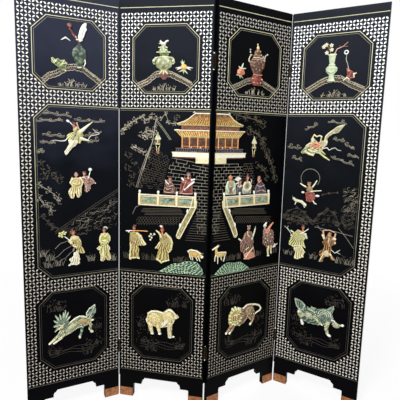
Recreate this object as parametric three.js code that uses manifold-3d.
// A four-panel folding screen of black lacquer with applied hardstone carvings.
// Millimetres, +Z up, seen from -Y, origin on the floor under the middle of the box round the screen.
import * as THREE from "three";
import { mergeVertices } from "three/addons/utils/BufferGeometryUtils.js";
import Module from "manifold-3d";

const wasm = await Module();
wasm.setup();

// Driving dimensions of the boards.
const PANEL_WIDTH = 406;
const PANEL_HEIGHT = 1829;
const PANEL_THICKNESS = 20;
const PANEL_GAP = 4;
const FOLDS = [21.1, -14.1, 26.1, -34.1];

// Driving dimensions of the bracket apron and the feet.
const FOOT_WIDTH = 68;
const SHOULDER_HEIGHT = 68;
const ARCH_HEIGHT = 101;
const SHOULDER_WIDTH = 40;
const STEP_WIDTH = 17;
const FOOT_ROUND = 3;

// Driving dimensions of the brass shoes.
const SHOE_HEIGHT = 43;
const SHOE_SHEET = 1.2;
const SHOE_INSET = 2;
const FIT_GAP = 0.3;

// Driving dimensions of the hinges.
const HINGE_HEIGHTS = [254, 1575];
const HINGE_LENGTH = 63;
const LEAF_SHEET = 1.2;
const LEAF_DEPTH = 14;
const KNUCKLE_RADIUS = 2.8;
const KNUCKLE_GAP = 0.4;
const PIN_RADIUS = 1.4;
const PIN_CLEARANCE = 0.3;
const AXIS_PROUD = 2.5;
const LEAF_RELIEF = 0.6;
const SCREW_RADIUS = 2.2;
const SCREW_PROUD = 0.3;
const BAR_SIDES = 8;
const SCREW_SIDES = 6;

// Driving dimensions of the carvings.
const CARVING_SEAT = 0.3;
const CARVING_EDGE = 1.5;
const FIGURE_DEPTH = 6;
const HEAD_WIDTH = 17;
const HEAD_HEIGHT = 21;
const HEAD_DEPTH = 10;
const LIMB_LIFT = 0.6;
const LIMB_SIDES = 5;
const VESSEL_RELIEF = 0.3;
const VESSEL_SIDES = 10;
const POST_HEIGHT = 54;

// Where the carvings stand: the middle of a panel, its fields and its ground lines.
const MIDDLE = PANEL_WIDTH / 2;
const TOP_FIELD_DROP = 249;
const SCENE_GROUND = 677;
const PAVILION_FOOT = 465;
const RAIL_FOOT = 269;
const BOTTOM_FIELD = 394;
const JOINT_MARGIN = 3;

// Turns a geometry into a closed solid with shared corners.
function solidOf(geometry) {
  const bare = geometry.clone();
  bare.deleteAttribute("normal");
  bare.deleteAttribute("uv");
  const merged = mergeVertices(bare, 1e-4);
  const corners = [...merged.index.array];
  const triangles = Array.from({ length: corners.length / 3 }, (_, face) => corners.slice(3 * face,
    3 * face + 3));
  const triVerts = new Uint32Array(triangles.filter((face) => new Set(face).size === 3).flat());
  const vertProperties = merged.attributes.position.array;
  return new wasm.Manifold(new wasm.Mesh({ numProp: 3, vertProperties, triVerts }));
}

// Turns a closed solid back into a geometry.
function geometryOf(solid) {
  const mesh = solid.getMesh();
  const geometry = new THREE.BufferGeometry();
  geometry.setAttribute("position", new THREE.BufferAttribute(mesh.vertProperties, 3));
  geometry.setIndex(new THREE.BufferAttribute(mesh.triVerts, 1));
  const flat = geometry.toNonIndexed();
  flat.computeVertexNormals();
  return flat;
}

// Joins several geometries into one solid.
function join(geometries) {
  return geometries.map(solidOf).reduce((whole, piece) => whole.add(piece));
}

// A box between two corners.
function block(low, high) {
  const size = high.map((value, axis) => value - low[axis]);
  const centre = high.map((value, axis) => (value + low[axis]) / 2);
  return new THREE.BoxGeometry(...size).translate(...centre);
}

// A geometry drawn as across, up and out of the face is stood up in its panel.
function standUp(geometry) {
  return geometry.rotateX(Math.PI / 2);
}

// Finishes of the real pieces.
function finish(color, roughness, metalness = 0) {
  return new THREE.MeshStandardMaterial({ color, roughness, metalness });
}
const LACQUER = finish(0x14151a, 0.25);
const COPPER = finish(0x8a5a3a, 0.4, 0.9);
const BRASS = finish(0xa8894f, 0.4, 0.9);
const SOAPSTONE = finish(0xe6dba8, 0.45);
const JADE = finish(0x6fa079, 0.35);
const GREEN_STONE = finish(0x4e7c55, 0.4);
const RED_STONE = finish(0x8a4a34, 0.45);
const AMBER_STONE = finish(0xc99a45, 0.4);

// The board's outline, from its left foot round over the top.
function boardShape() {
  const middle = PANEL_WIDTH / 2;
  const inner = FOOT_WIDTH + SHOULDER_WIDTH;
  const crown = inner + STEP_WIDTH;
  const left = new THREE.Path();
  left.moveTo(FOOT_WIDTH, SHOULDER_HEIGHT - SHOULDER_WIDTH / 6);
  left.quadraticCurveTo(FOOT_WIDTH, SHOULDER_HEIGHT, FOOT_WIDTH + SHOULDER_WIDTH / 6, SHOULDER_HEIGHT);
  left.lineTo(inner, SHOULDER_HEIGHT);
  const rise = ARCH_HEIGHT - SHOULDER_HEIGHT;
  left.bezierCurveTo(
    inner, SHOULDER_HEIGHT + rise * 0.9,
    inner + STEP_WIDTH * 0.4, SHOULDER_HEIGHT + rise * 0.4,
    crown, ARCH_HEIGHT,
  );
  const rounds = left.getPoints(5);
  const mirrored = rounds.map((point) => new THREE.Vector2(2 * middle - point.x, point.y)).reverse();
  const base = SHOE_SHEET + FIT_GAP;
  const outline = [
    new THREE.Vector2(0, PANEL_HEIGHT),
    new THREE.Vector2(0, base + FOOT_ROUND),
    new THREE.Vector2(FOOT_ROUND, base),
    new THREE.Vector2(FOOT_WIDTH - FOOT_ROUND, base),
    new THREE.Vector2(FOOT_WIDTH, base + FOOT_ROUND),
    ...rounds,
    ...mirrored,
    new THREE.Vector2(PANEL_WIDTH - FOOT_WIDTH, base + FOOT_ROUND),
    new THREE.Vector2(PANEL_WIDTH - FOOT_WIDTH + FOOT_ROUND, base),
    new THREE.Vector2(PANEL_WIDTH - FOOT_ROUND, base),
    new THREE.Vector2(PANEL_WIDTH, base + FOOT_ROUND),
    new THREE.Vector2(PANEL_WIDTH, PANEL_HEIGHT),
  ];
  return new THREE.Shape(outline);
}

// One lacquered board with its apron and feet.
function boardGeometry() {
  const options = { depth: PANEL_THICKNESS, bevelEnabled: false };
  const board = new THREE.ExtrudeGeometry(boardShape(), options);
  board.translate(0, 0, -PANEL_THICKNESS);
  return standUp(board);
}

// A sheet shoe folded round the front, the sole and the back of a foot.
function shoeGeometry(start) {
  const inner = FIT_GAP;
  const outer = FIT_GAP + SHOE_SHEET;
  const back = -PANEL_THICKNESS;
  const length = FOOT_WIDTH - 2 * SHOE_INSET;
  const fold = new THREE.Shape();
  fold.moveTo(outer, SHOE_HEIGHT);
  fold.lineTo(inner, SHOE_HEIGHT);
  fold.lineTo(inner, SHOE_SHEET);
  fold.lineTo(back - inner, SHOE_SHEET);
  fold.lineTo(back - inner, SHOE_HEIGHT);
  fold.lineTo(back - outer, SHOE_HEIGHT);
  fold.lineTo(back - outer, SHOE_SHEET);
  fold.quadraticCurveTo(back - outer, 0, back - inner, 0);
  fold.lineTo(inner, 0);
  fold.quadraticCurveTo(outer, 0, outer, SHOE_SHEET);
  const sheet = new THREE.ExtrudeGeometry(fold, { depth: length, bevelEnabled: false, curveSegments: 3 });
  sheet.rotateY(-Math.PI / 2);
  sheet.translate(start + SHOE_INSET + length, 0, 0);
  return standUp(sheet);
}

// Where the hinge axis stands: across the gap, and proud of the face that folds inwards.
function axisOut(onFront) {
  return onFront ? AXIS_PROUD : -PANEL_THICKNESS - AXIS_PROUD;
}

// A vertical round bar between two heights, in a hinge's own frame.
function bar(radius, low, high) {
  return new THREE.CylinderGeometry(radius, radius, high - low, BAR_SIDES).translate(0, (low + high) / 2, 0);
}

// One leaf of a butt hinge about its axis: the plate lies left of it and towards -Z.
function leafSolid(withPin) {
  const third = HINGE_LENGTH / 3;
  const low = PANEL_GAP / 2 - FIT_GAP - LEAF_SHEET;
  const plateSide = [-low - LEAF_SHEET, -low];
  const shallow = -KNUCKLE_RADIUS - LEAF_RELIEF;
  let leaf = solidOf(block([plateSide[0], 0, -AXIS_PROUD - LEAF_DEPTH],
    [plateSide[1], HINGE_LENGTH, shallow]));
  const spans = withPin
    ? [[0, third - KNUCKLE_GAP / 2], [2 * third + KNUCKLE_GAP / 2, HINGE_LENGTH]]
    : [[third + KNUCKLE_GAP / 2, 2 * third - KNUCKLE_GAP / 2]];
  spans.forEach(([from, to]) => {
    leaf = leaf.add(solidOf(block([plateSide[0], from, shallow - 1], [plateSide[1], to, 0])));
    leaf = leaf.add(solidOf(bar(KNUCKLE_RADIUS, from, to)));
  });
  if (withPin) leaf = leaf.add(solidOf(bar(PIN_RADIUS, third / 2, HINGE_LENGTH - third / 2)));
  else leaf = leaf.subtract(solidOf(bar(PIN_RADIUS + PIN_CLEARANCE, -1, HINGE_LENGTH + 1)));
  [1, 3, 5].forEach((sixth) => {
    const screw = new THREE.CylinderGeometry(SCREW_RADIUS * 0.8, SCREW_RADIUS, SCREW_PROUD + 0.4,
      SCREW_SIDES);
    screw.rotateZ(-Math.PI / 2);
    screw.translate(plateSide[1] + SCREW_PROUD / 2 - 0.2, (sixth * HINGE_LENGTH) / 6,
      -AXIS_PROUD - LEAF_DEPTH / 2);
    leaf = leaf.add(solidOf(screw));
  });
  return leaf;
}

// A leaf set on the right or left edge of its panel, on the front or the back face.
function leafGeometry(withPin, onRight, onFront, height) {
  const geometry = geometryOf(leafSolid(withPin));
  const turns = new THREE.Matrix4();
  const flipSide = onRight ? 1 : -1;
  const flipFace = onFront ? 1 : -1;
  turns.makeScale(flipSide, 1, flipFace);
  geometry.applyMatrix4(turns);
  if (flipSide * flipFace < 0) reverseFaces(geometry);
  const across = onRight ? PANEL_WIDTH + PANEL_GAP / 2 : -PANEL_GAP / 2;
  geometry.translate(across, height - HINGE_LENGTH / 2, axisOut(onFront));
  return standUp(geometry);
}

// Turns the faces of a mirrored geometry outwards again.
function reverseFaces(geometry) {
  const position = geometry.attributes.position;
  for (let i = 0; i < position.count; i += 3) {
    const first = new THREE.Vector3().fromBufferAttribute(position, i + 1);
    const second = new THREE.Vector3().fromBufferAttribute(position, i + 2);
    position.setXYZ(i + 1, ...second.toArray());
    position.setXYZ(i + 2, ...first.toArray());
  }
  geometry.computeVertexNormals();
}

// A flat carved piece with softened edges, from its outline on the face.
function plate(points, depth) {
  const outline = points.map(([across, up]) => new THREE.Vector2(across, up));
  if (THREE.ShapeUtils.isClockWise(outline)) outline.reverse();
  const edge = Math.min(CARVING_EDGE, depth / 2);
  const options = { depth: depth - edge, bevelThickness: edge, bevelSize: edge, bevelOffset: -edge,
    bevelSegments: 1 };
  return new THREE.ExtrudeGeometry(new THREE.Shape(outline), options);
}

// A square-edged piece of one depth between two corners on the face.
function slab(from, to, depth) {
  const low = [Math.min(from[0], to[0]), Math.min(from[1], to[1]), 0];
  const high = [Math.max(from[0], to[0]), Math.max(from[1], to[1]), depth];
  return block(low, high);
}

// A rounded lump of stone on the face, turned by a tilt in degrees.
function lump(at, across, up, out, tilt = 0) {
  const geometry = new THREE.SphereGeometry(1, 8, 4);
  geometry.scale(across, up, out);
  geometry.rotateZ((tilt * Math.PI) / 180);
  return geometry.translate(...at, 0);
}

// A tapering limb, stem or handle between two points on the face.
function limb(from, to, thick, thin) {
  const reach = new THREE.Vector2(to[0] - from[0], to[1] - from[1]);
  const geometry = new THREE.CylinderGeometry(thin, thick, reach.length(), LIMB_SIDES);
  geometry.rotateZ(reach.angle() - Math.PI / 2);
  return geometry.translate(from[0] + reach.x / 2, from[1] + reach.y / 2, thin * LIMB_LIFT);
}

// A scarf, cord, branch or tail that follows several points at one thickness.
function strand(points, radius) {
  return points.slice(1).map((point, index) => limb(points[index], point, radius, radius));
}

// A turned vessel in half relief, from its radii at growing heights.
function vessel(profile) {
  const foot = new THREE.Vector2(0, profile[0][1]);
  const top = new THREE.Vector2(0, profile.at(-1)[1]);
  const side = profile.map(([radius, height]) => new THREE.Vector2(radius, height));
  return new THREE.LatheGeometry([foot, ...side, top], VESSEL_SIDES).scale(1, 1, VESSEL_RELIEF);
}

// A head on its neck, with the hair dressed on top.
function head([across, up]) {
  return [
    lump([across, up], HEAD_WIDTH / 2, HEAD_HEIGHT / 2, HEAD_DEPTH),
    lump([across, up + HEAD_HEIGHT * 0.5], HEAD_WIDTH * 0.35, HEAD_HEIGHT * 0.3, HEAD_DEPTH * 0.7),
    limb([across, up], [across, up - HEAD_HEIGHT * 1.2], HEAD_WIDTH * 0.3, HEAD_WIDTH * 0.35),
  ];
}

// A figure: its robe is cut to an outline and its head is set over it.
function figure(robe, headAt, extras = []) {
  return [plate(robe, FIGURE_DEPTH), head(headAt), extras];
}

// Joins the parts of one carving, cuts its back flat where it is glued, and sets it on the panel.
function carving(parts, [across, up]) {
  const whole = join(parts.flat(Infinity));
  const reach = PANEL_HEIGHT;
  const front = solidOf(block([-reach, -reach, CARVING_SEAT], [reach, reach, reach]));
  return standUp(geometryOf(whole.intersect(front)).translate(across, up, 0));
}

// Places on a panel, from the middle of its top field, its scene's ground line or its bottom field.
const inTopField = (across, up) => [MIDDLE + across, PANEL_HEIGHT - TOP_FIELD_DROP + up];
const inScene = (across, up) => [MIDDLE + across, SCENE_GROUND + up];
const inBottomField = (across, up) => [MIDDLE + across, BOTTOM_FIELD + up];

// A bottle vase with a feather plume and a sceptre in its mouth.
function vase() {
  const profile = [[13, 0], [14, 5], [11, 13], [17, 23], [28, 44], [31, 61], [27, 77], [15, 89],
    [7, 96], [7, 104], [12, 114]];
  const plume = [[-3, 106], [-7, 129], [3, 157], [6, 167], [15, 179], [30, 184], [28, 168], [29, 157],
    [16, 127], [6, 106]];
  const sceptre = strand([[-3, 104], [-14, 125], [-40, 152], [-38, 166]], 4.5);
  return [vessel(profile), plate(plume, 5), sceptre, lump([-38, 168], 12, 12, 7)];
}

// A citron on its side with pointed fingers.
function citron() {
  const rind = [[-30, 24], [-24, 28], [-15, 18], [-6, 25], [3, 18], [19, 20], [32, 6], [22, -24],
    [4, -17], [-15, -3], [-30, 8]];
  return [plate(rind, 7), lump([3, -1], 23, 11, 11, -35)];
}

// A lidded censer with two ears and a beast on its lid, on three feet and a footed stand.
function censer() {
  const profile = [[18, 14], [34, 27], [40, 40], [37, 53], [27, 62], [20, 78], [29, 86], [22, 94],
    [18, 104], [8, 119]];
  const ear = [[30, 38], [44, 36], [49, 46], [42, 66], [32, 62]];
  const ears = [-1, 1].map((side) => plate(ear.map(([x, y]) => [side * x, y]), 6));
  const feet = [-15, 0, 15].map((across) => limb([across, 22], [across, -2], 6, 4));
  const stand = plate([[-24, 4], [28, 4], [20, -14], [8, -28], [-2, -28], [-16, -14]], 5);
  const beast = [lump([0, 123], 14, 9, 9), lump([-13, 130], 5, 9, 6, 25), lump([11, 134], 11, 5, 6, 25)];
  return [vessel(profile), ears, feet, stand, beast];
}

// A fruit with pointed leaves round it, each given by its tip.
function fruit(radius, tips) {
  return [lump([0, 0], radius, radius * 0.9, 10), tips.map((tip) => limb([0, 0], tip, 6, 2))];
}

// A tall censer with a pointed lid and two curled handles.
function dragonCenser() {
  const profile = [[19, 0], [28, 8], [38, 28], [26, 48], [34, 66], [51, 86], [51, 104], [37, 124],
    [26, 136], [14, 150], [4, 165], [2, 178]];
  const left = strand([[-46, 92], [-49, 104], [-39, 126], [-44, 140]], 4);
  const right = strand([[42, 100], [44, 130], [58, 139]], 4);
  return [vessel(profile), left, right];
}

// A flared beaker with a round belly, a spray of blossoms and a bare branch.
function beaker() {
  const profile = [[18, 0], [13, 14], [10, 28], [26, 46], [25, 60], [11, 70], [14, 88], [18, 116]];
  const stems = [
    strand([[-4, 108], [-12, 131], [-18, 149], [-42, 153]], 5),
    strand([[-7, 155], [-14, 140], [-2, 140]], 4),
    limb([-16, 148], [-28, 128], 5, 4),
  ];
  const blossoms = [[-29, 161], [-43, 153], [-7, 157], [-5, 138], [-25, 126]].map((at) => lump(at, 9, 8, 6));
  const branch = [strand([[5, 108], [18, 139], [43, 148], [61, 164]], 3), limb([43, 148], [62, 147], 3, 2)];
  return [vessel(profile), stems, blossoms, branch];
}

// A jade ring on a cord, over a chime cut as a leaping fish.
function chime() {
  const ring = new THREE.TorusGeometry(7.5, 3, 6, 14).translate(-11, 60, 0);
  const fish = [[-5, -6], [5, -12], [18, -21], [23, -33], [37, -31], [28, -43], [28, -51], [12, -57],
    [1, -50], [-17, -62], [-3, -42], [-1, -26]];
  const cord = strand([[-9, 51], [-10, 29], [-3, 11], [4, -20]], 1.8);
  return [ring, cord, plate(fish, 7), lump([13, -37], 10, 17, 9, -35)];
}

// A flying attendant with an outstretched arm, a fan and trailing scarves.
function flyingAttendant() {
  const robe = [[-44, 2], [-35, 17], [-17, 21], [-11, 35], [0, 41], [13, 28], [27, 11], [18, -4],
    [16, -16], [5, -24], [-10, -14], [-35, -17]];
  const skirt = [[-37, -14], [-30, -32], [-53, -60], [-48, -73], [-36, -66], [-24, -45], [-8, -35],
    [3, -20], [-2, -10]];
  const sleeve = [[4, 26], [30, 38], [47, 53], [65, 69], [69, 65], [54, 48], [39, 34], [14, 12]];
  const sash = [[14, 1], [27, 0], [38, -6], [52, -9], [50, -15], [23, -16], [12, -12]];
  const scarves = [[[-38, -2], [-56, -15], [-89, -12]], [[46, -11], [59, 9], [92, 14], [76, 28]]];
  const arms = [limb([8, 32], [0, 54], 4, 4), limb([-10, 34], [-32, 64], 5, 4)];
  const extras = [plate(skirt, 7), plate(sleeve, 7), plate(sash, 7),
    scarves.map((scarf) => strand(scarf, 2.5)), arms];
  return figure(robe, [-12, 48], extras);
}

// A phoenix in flight, with a long plume, curled crests and a trailing ribbon.
function phoenix() {
  const body = [[-77, -47], [-72, -35], [-55, -15], [-35, -1], [-31, 21], [-25, 27], [-15, 19],
    [0, 3], [11, 13], [25, 14], [38, 23], [42, 10], [40, -4], [27, -19], [19, -33], [11, -48],
    [-11, -42], [-19, -61], [-43, -55], [-51, -44]];
  const plume = [[24, 2], [28, 32], [41, 49], [71, 68], [79, 79], [113, 89], [107, 80], [85, 50],
    [59, 45], [46, 33], [36, 12]];
  const crests = [strand([[-28, 20], [-20, 38], [-9, 31], [5, 36], [13, 30], [10, 8]], 3.5)];
  const tails = strand([[12, -42], [44, -68], [54, -74]], 5);
  const ribbon = strand([[20, -20], [41, -18], [51, -30], [63, -22], [77, -17], [88, -28], [102, -30]], 2.6);
  return [plate(body, FIGURE_DEPTH), plate(plume, 6), crests, tails, ribbon, lump([8, -14], 26, 14, 12, 40)];
}

// Half of a two-roofed pavilion on its terrace, drawn from the joint at its middle to its outer end.
function pavilion(side) {
  const drawn = (points, depth) => plate(points.map(([x, y]) => [side * x, y]), depth);
  const ribs = [20, 60, 100].map((foot) => limb([side * foot * 0.6, 210], [side * foot, 164], 8, 9));
  return [
    drawn([[0, 214], [62, 214], [67, 219], [72, 206], [96, 187], [143, 169], [138, 162], [0, 160]], 8),
    slab([0, 144], [side * 121, 164], 4),
    drawn([[0, 148], [132, 148], [152, 144], [146, 136], [118, 121], [0, 120]], 9),
    slab([0, 66], [side * 123, 123], 3.5),
    slab([0, 44], [side * 145, 70], 5),
    drawn([[0, 46], [163, 46], [160, 22], [54, 22], [57, 0], [0, 0]], 7),
    [14, 50, 86, 118].map((x) => slab([side * (x - 3), 68], [side * (x + 3), 124], 6)),
    [38, 78, 118].map((x) => lump([side * x, 74], 5, 5, 7)),
    ribs,
  ];
}

// A balustrade of ball-topped posts and panels, with a stair rail that falls from its inner end.
function balustrade(posts, side, end) {
  const [first, last] = [posts[0], posts.at(-1)];
  const uprights = posts.map((at) => [
    slab([at - 6, 0], [at + 6, POST_HEIGHT], 7),
    lump([at, POST_HEIGHT + 2], 6.5, 7.5, 7),
  ]);
  const stair = [[-7, 29], [-2, 2], [22, -31], [43, -64], [56, -100], [59, -140], [82, -140],
    [80, -96], [69, -53], [49, -14], [26, 16], [12, 44]];
  const knobs = [[34, -6], [68, -70]].map(([x, y]) => lump([end + side * x, y], 6, 14, 7));
  return [
    slab([first, 0], [last, POST_HEIGHT - 14], 4),
    slab([first, POST_HEIGHT - 15], [last, POST_HEIGHT - 8], 6),
    plate(stair.map(([x, y]) => [end + side * x, y]), 5),
    uprights,
    knobs,
  ];
}

// A craggy rock: an outline with rounded crests laid over it.
function rock(outline, crests) {
  return [plate(outline, 5), crests.map(([at, wide, high, tilt]) => lump(at, wide, high, 8, tilt))];
}

// The running green lion with a tufted mane and a leaf-shaped tail.
function tuftedLion() {
  const body = [[-60, 26], [-6, 30], [28, 44], [46, 43], [64, 34], [94, 13], [84, -2], [39, -10],
    [20, -14], [-9, -30], [-40, -41], [-66, -24]];
  const tail = [[58, 30], [60, 52], [73, 70], [99, 87], [103, 64], [101, 45], [87, 28], [74, 16]];
  const tips = [[-69, -13], [-80, 24], [-66, 60], [-30, 78], [-8, 58]];
  const locks = tips.map((tip) => limb([-42, 20], tip, 12, 3));
  const legs = [
    strand([[-52, -10], [-101, -67]], 7),
    strand([[-30, -26], [-82, -64]], 7),
    strand([[84, 8], [74, -24], [86, -46]], 8),
    strand([[40, 0], [33, -46], [28, -76]], 8),
  ];
  return [plate(body, 9), plate(tail, 7), lump([-42, 20], 32, 34, 14), lump([62, 14], 30, 18, 13, -20),
    locks, legs];
}

// The woolly lion that stands with its head lowered.
function woollyLion() {
  const outline = [[-72, 30], [-67, 48], [-50, 59], [-27, 62], [8, 54], [19, 71], [34, 77], [60, 69],
    [76, 39], [61, 31], [57, 8], [52, -38], [56, -55], [32, -68], [23, -60], [14, -24], [-11, -20],
    [-5, -52], [-19, -57], [-26, -40], [-35, -12], [-34, -55], [-50, -58], [-62, -19], [-77, 4]];
  return [plate(outline, 9), lump([-34, 22], 36, 32, 15), lump([30, 34], 34, 34, 16),
    lump([34, -30], 15, 32, 14)];
}

// The spotted lion that springs forward with its tail in a loop.
function springingLion() {
  const outline = [[-93, 19], [-86, 42], [-74, 61], [-51, 63], [-35, 51], [-8, 54], [12, 66],
    [31, 66], [51, 55], [62, 20], [63, -8], [51, -42], [35, -55], [26, -47], [42, -31], [38, -12],
    [21, 2], [8, -9], [-12, -29], [-33, -33], [-36, -24], [-24, -14], [-57, -25], [-70, -38],
    [-89, -61], [-108, -47], [-93, -33], [-86, -19], [-92, 5]];
  const tail = strand([[44, 52], [82, 46], [102, 36], [104, 20], [88, 10], [58, 2]], 5.5);
  return [plate(outline, 9), tail, lump([-58, 18], 32, 38, 16, -20), lump([26, 30], 32, 28, 15),
    lump([-16, 14], 30, 24, 13)];
}

// The shaggy lion that creeps down to the right, with a leaf-shaped tail.
function shaggyLion() {
  const body = [[-74, 36], [-35, 46], [-27, 58], [1, 50], [21, 60], [47, 64], [72, 83], [76, 70],
    [69, 44], [80, 13], [91, 2], [108, 7], [117, 0], [110, -12], [61, -31], [47, -59], [57, -78],
    [49, -90], [37, -77], [23, -39], [2, -30], [-16, -40], [3, -47], [-5, -57], [-36, -41],
    [-45, -21], [-77, -30], [-90, -13], [-75, 6]];
  const tail = [[-66, 20], [-95, 34], [-106, 53], [-111, 79], [-94, 78], [-74, 71], [-59, 57], [-54, 34]];
  const rounds = [lump([30, 22], 40, 30, 16, -15), lump([-52, 8], 28, 26, 14),
    lump([88, -6], 18, 13, 13, -20)];
  return [plate(body, 9), plate(tail, 7), rounds, limb([-74, -20], [-70, -58], 9, 8)];
}

// The goat and the deer on the rocks.
const GOAT = [[-29, 44], [-14, 50], [10, 48], [27, 37], [42, 16], [32, 15], [22, 24], [20, 14],
  [26, 1], [16, 4], [8, 16], [-4, 17], [-6, 2], [-13, 12], [-19, 26], [-26, 35]];
const DEER = [[-40, 67], [-30, 77], [-11, 84], [-5, 74], [-4, 53], [31, 52], [36, 39], [28, 27],
  [26, 7], [19, 7], [18, 27], [-6, 27], [-6, 0], [-12, 0], [-15, 28], [-24, 16], [-30, 16], [-26, 40],
  [-20, 62], [-28, 61]];

// The robes of the figures, each from its left shoulder down and round.
const COURTIER = [[-18, 88], [-23, 72], [-19, 51], [-34, 30], [-30, 12], [-20, 0], [-4, 18], [11, 5],
  [20, 18], [22, 50], [29, 66], [28, 77], [11, 89]];
const BROWN_COURTIER = [[-7, 62], [-8, 20], [0, 0], [12, 9], [19, 27], [39, 36], [25, 52], [14, 64], [1, 68]];
const GARDENER = [[-20, 132], [-32, 112], [-18, 98], [-3, 78], [3, 63], [-6, 43], [-33, 30],
  [-23, 17], [-35, 0], [6, 0], [17, 7], [12, 24], [17, 46], [35, 51], [26, 77], [17, 108], [9, 125],
  [-4, 134]];
const STANDING_LADY = [[-17, 124], [-21, 112], [-22, 76], [-34, 65], [-26, 49], [-18, 26], [-20, 4],
  [13, 1], [30, 10], [15, 52], [26, 52], [15, 83], [27, 108], [22, 126], [0, 134]];
const SQUATTING = [[-26, 0], [-20, 36], [-12, 56], [2, 58], [16, 44], [25, 24], [25, 0]];
const RED_ROBE = [[-27, 1], [-24, 40], [-16, 68], [12, 78], [36, 66], [28, 30], [32, 2]];
const CHAMBERLAIN = [[-25, 0], [-28, 42], [-10, 64], [16, 62], [28, 40], [30, 0]];
const WAITING = [[-24, 0], [-26, 22], [-12, 52], [12, 54], [24, 22], [23, 0]];
const FLUTE_PLAYER = [[-22, 132], [-24, 95], [-22, 60], [-28, 22], [-22, 0], [3, 10], [26, 9],
  [19, 31], [16, 72], [47, 76], [36, 105], [12, 133]];
const LONG_SLEEVES = [[-22, 131], [-17, 99], [-36, 75], [-24, 62], [-36, 18], [-12, -1], [4, 9],
  [27, 14], [21, 53], [40, 79], [40, 113], [7, 143]];
const ELDER = [[-21, 139], [-34, 121], [-39, 105], [-54, 98], [-50, 52], [-29, 33], [-27, 3],
  [-20, -2], [27, 6], [40, 9], [31, 41], [22, 70], [21, 112], [9, 138]];
const AMBER_LADY = [[-33, 132], [-32, 61], [-11, 47], [0, 32], [5, 6], [27, 7], [29, 42], [38, 58],
  [35, 110], [28, 124], [1, 136]];
const CREAM_FIGURE = [[-40, 106], [-18, 130], [-5, 142], [10, 142], [32, 120], [22, 85], [36, 54],
  [18, 62], [35, 31], [24, 28], [28, 5], [10, 4], [-2, -9], [-21, -5], [-15, 28], [-28, 54], [-52, 62]];
const TRAY_BEARER = [[-27, 98], [-14, 81], [-20, 60], [-34, 52], [-37, 32], [-24, 20], [-42, -2],
  [-18, 0], [-8, 26], [4, 36], [16, 26], [34, 16], [38, 24], [24, 42], [18, 64], [18, 86], [33, 94],
  [36, 116], [24, 124], [-8, 126], [-18, 110]];

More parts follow.
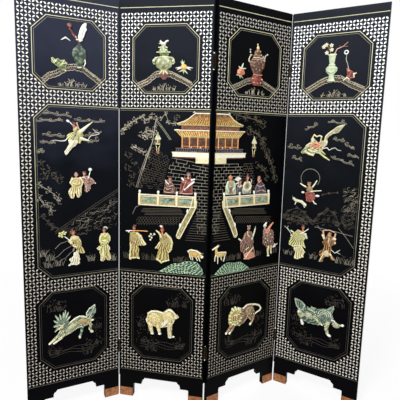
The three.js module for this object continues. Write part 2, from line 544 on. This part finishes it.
const CARVINGS = [
  [
    ["vase_with_plume", JADE, vase(), inTopField(39, -55)],
    ["citron", JADE, citron(), inTopField(-43, -46)],
    ["flying_attendant", SOAPSTONE, flyingAttendant(), inScene(23, 563)],
    ["courtier_with_fan", SOAPSTONE, figure(COURTIER, [-1, 101], [lump([1, 68], 24, 12, 10)]),
      inScene(18, 302)],
    ["courtier_in_brown", RED_STONE,
      figure(BROWN_COURTIER, [-3, 78], [limb([6, 58], [17, 92], 4, 3), lump([17, 95], 7.5, 7.5, 6)]),
      inScene(59, 330)],
    ["gardener_with_flower_staff", SOAPSTONE,
      figure(GARDENER, [-12, 146], [limb([-14, 104], [-54, 139], 5, 3), lump([-59, 148], 16, 16, 8)]),
      inScene(12, 2)],
    ["standing_lady", SOAPSTONE, figure(STANDING_LADY, [-1, 145], [lump([2, 96], 20, 12, 10, -20)]),
      inScene(137, 6)],
    ["green_lion_left", GREEN_STONE, tuftedLion(), inBottomField(-8, 0)],
  ],
  [
    ["lidded_censer", JADE, censer(), inTopField(-9, -58)],
    ["pomegranate", AMBER_STONE, fruit(15, [[-8, 30], [-36, -3], [38, -3], [17, -27], [-22, -19]]),
      inTopField(81, -33)],
    ["pavilion_left_half", AMBER_STONE, pavilion(-1),
      [PANEL_WIDTH - JOINT_MARGIN, SCENE_GROUND + PAVILION_FOOT]],
    ["terrace_figure_brown", RED_STONE, figure(SQUATTING, [2, 66]), inScene(28, 327)],
    ["terrace_figure_red", RED_STONE, figure(RED_ROBE, [11, 88], [limb([16, 62], [36, 66], 6, 5)]),
      inScene(101, 327)],
    ["balustrade_left", JADE, balustrade([-109, -23, 62, 145], -1, 145), inScene(0, RAIL_FOOT)],
    ["flute_player", SOAPSTONE, figure(FLUTE_PLAYER, [-3, 154], [limb([-40, 139], [61, 144], 3, 3)]),
      inScene(-131, 5)],
    ["lady_with_sleeves", SOAPSTONE,
      figure(LONG_SLEEVES, [-9, 155], [
        strand([[-8, 110], [-36, 132], [-69, 124]], 4),
        lump([22, 110], 14, 24, 10, -25),
      ]),
      inScene(7, 1)],
    ["goat", SOAPSTONE, [plate(GOAT, 7), lump([0, 34], 26, 14, 9, -15)], inScene(147, 27)],
    ["rock_left", GREEN_STONE,
      rock(
        [[-102, 4], [-75, 20], [-31, 46], [-6, 48], [18, 60], [71, 60], [84, 49], [104, 23], [104, 9],
          [92, 0], [0, 2]],
        [[[30, 34], 36, 18, 15], [[70, 26], 28, 14, -35], [[-36, 22], 34, 12, 28]],
      ),
      inScene(87, -39)],
    ["shaggy_lion", SOAPSTONE, woollyLion(), inBottomField(5, -4)],
  ],
  [
    ["dragon_censer", RED_STONE, dragonCenser(), inTopField(9, -90)],
    ["persimmon", AMBER_STONE, fruit(20, [[11, 36], [26, 15], [-23, -15], [15, -26]]), inTopField(-80, -38)],
    ["pavilion_right_half", AMBER_STONE, pavilion(1), [JOINT_MARGIN, SCENE_GROUND + PAVILION_FOOT]],
    ["terrace_figure_first", SOAPSTONE, figure(CHAMBERLAIN, [-3, 77], [limb([16, 44], [43, 56], 6, 5)]),
      inScene(-110, 327)],
    ["terrace_figure_second", RED_STONE, figure(WAITING, [1, 74], [limb([10, 40], [26, 60], 5, 4)]),
      inScene(-19, 327)],
    ["balustrade_right", JADE, balustrade([-145, -60, 24, 111], 1, -145), inScene(0, RAIL_FOOT)],
    ["elder_in_brown", RED_STONE,
      figure(ELDER, [-5, 151], [limb([14, 100], [32, 147], 5, 5), limb([-40, 96], [-60, 108], 6, 5)]),
      inScene(9, 5)],
    ["lady_in_amber", AMBER_STONE,
      figure(AMBER_LADY, [-18, 145], [limb([10, 128], [28, 156], 6, 4), limb([20, 40], [65, 49], 5, 4)]),
      inScene(121, 13)],
    ["deer", SOAPSTONE, [plate(DEER, 6), lump([6, 40], 24, 11, 8)], inScene(-157, 12)],
    ["rock_right", GREEN_STONE,
      rock(
        [[-102, 6], [-75, 30], [-54, 45], [-30, 54], [6, 47], [45, 47], [66, 32], [101, 7], [67, 0],
          [-77, 0]],
        [[[-34, 32], 32, 18, 20], [[30, 24], 36, 14, -10]],
      ),
      inScene(-83, -45)],
    ["amber_lion", AMBER_STONE, springingLion(), inBottomField(-3, 1)],
  ],
  [
    ["beaker_with_blossoms", JADE, beaker(), inTopField(-17, -62)],
    ["ring_and_fish_chime", RED_STONE, chime(), inTopField(52, 0)],
    ["phoenix", SOAPSTONE, phoenix(), inScene(-53, 563)],
    ["flute_boy", SOAPSTONE,
      figure(CREAM_FIGURE, [16, 155], [limb([-30, 104], [-75, 149], 4, 3), limb([5, 115], [42, 151], 4, 3)]),
      inScene(-113, 4)],
    ["lady_with_tray", SOAPSTONE,
      figure(TRAY_BEARER, [5, 133], [
        limb([-16, 110], [-25, 131], 5, 6),
        limb([20, 100], [29, 124], 7, 7),
        strand([[10, 70], [34, 52], [55, 71]], 3),
      ]),
      inScene(22, 5)],
    ["green_lion_right", GREEN_STONE, shaggyLion(), inBottomField(-3, 1)],
  ],
];

// Adds one named piece to a group.
function addPiece(group, name, geometry, material) {
  const mesh = new THREE.Mesh(geometry, material);
  mesh.name = name;
  group.add(mesh);
}

// Adds the leaves of one side's hinges to a panel.
function addLeaves(group, joint, withPin, onRight, onFront) {
  HINGE_HEIGHTS.forEach((height, index) => {
    const kind = withPin ? "pin_leaf" : "plain_leaf";
    const name = "hinge_" + joint + "_" + (index + 1) + "_" + kind;
    addPiece(group, name, leafGeometry(withPin, onRight, onFront, height), BRASS);
  });
}

// One panel with its shoes, leaves and carvings.
function panel(index) {
  const group = new THREE.Group();
  const number = index + 1;
  addPiece(group, "panel_" + number + "_board", boardGeometry(), LACQUER);
  addPiece(group, "panel_" + number + "_shoe_left", shoeGeometry(0), COPPER);
  addPiece(group, "panel_" + number + "_shoe_right", shoeGeometry(PANEL_WIDTH - FOOT_WIDTH), COPPER);
  const foldsForward = (joint) => joint % 2 === 1;
  if (index < FOLDS.length - 1) addLeaves(group, number, true, true, foldsForward(number));
  if (index > 0) addLeaves(group, index, false, false, foldsForward(index));
  CARVINGS[index].forEach(([name, material, parts, place]) => addPiece(group, name, carving(parts, place),
    material));
  return group;
}

// Stands the panels in their zigzag, each hung on the hinge axis of the one before it.
function foldingScreen() {
  const screen = new THREE.Group();
  const start = new THREE.Vector2(0, 0);
  FOLDS.forEach((degrees, index) => {
    const group = panel(index);
    const angle = (degrees * Math.PI) / 180;
    const across = new THREE.Vector2(Math.cos(angle), Math.sin(angle));
    const out = new THREE.Vector2(Math.sin(angle), -Math.cos(angle));
    if (index > 0) {
      const proud = axisOut(index % 2 === 1);
      start.addScaledVector(across, PANEL_GAP / 2).addScaledVector(out, -proud);
    }
    group.position.set(start.x, start.y, 0);
    group.rotation.z = angle;
    screen.add(group);
    const nextProud = axisOut(index % 2 === 0);
    start.addScaledVector(across, PANEL_WIDTH + PANEL_GAP / 2).addScaledVector(out, nextProud);
  });
  screen.updateMatrixWorld(true);
  const centre = new THREE.Box3().setFromObject(screen, true).getCenter(new THREE.Vector3());
  screen.position.set(-centre.x, -centre.y, 0);
  return screen;
}

export default foldingScreen();
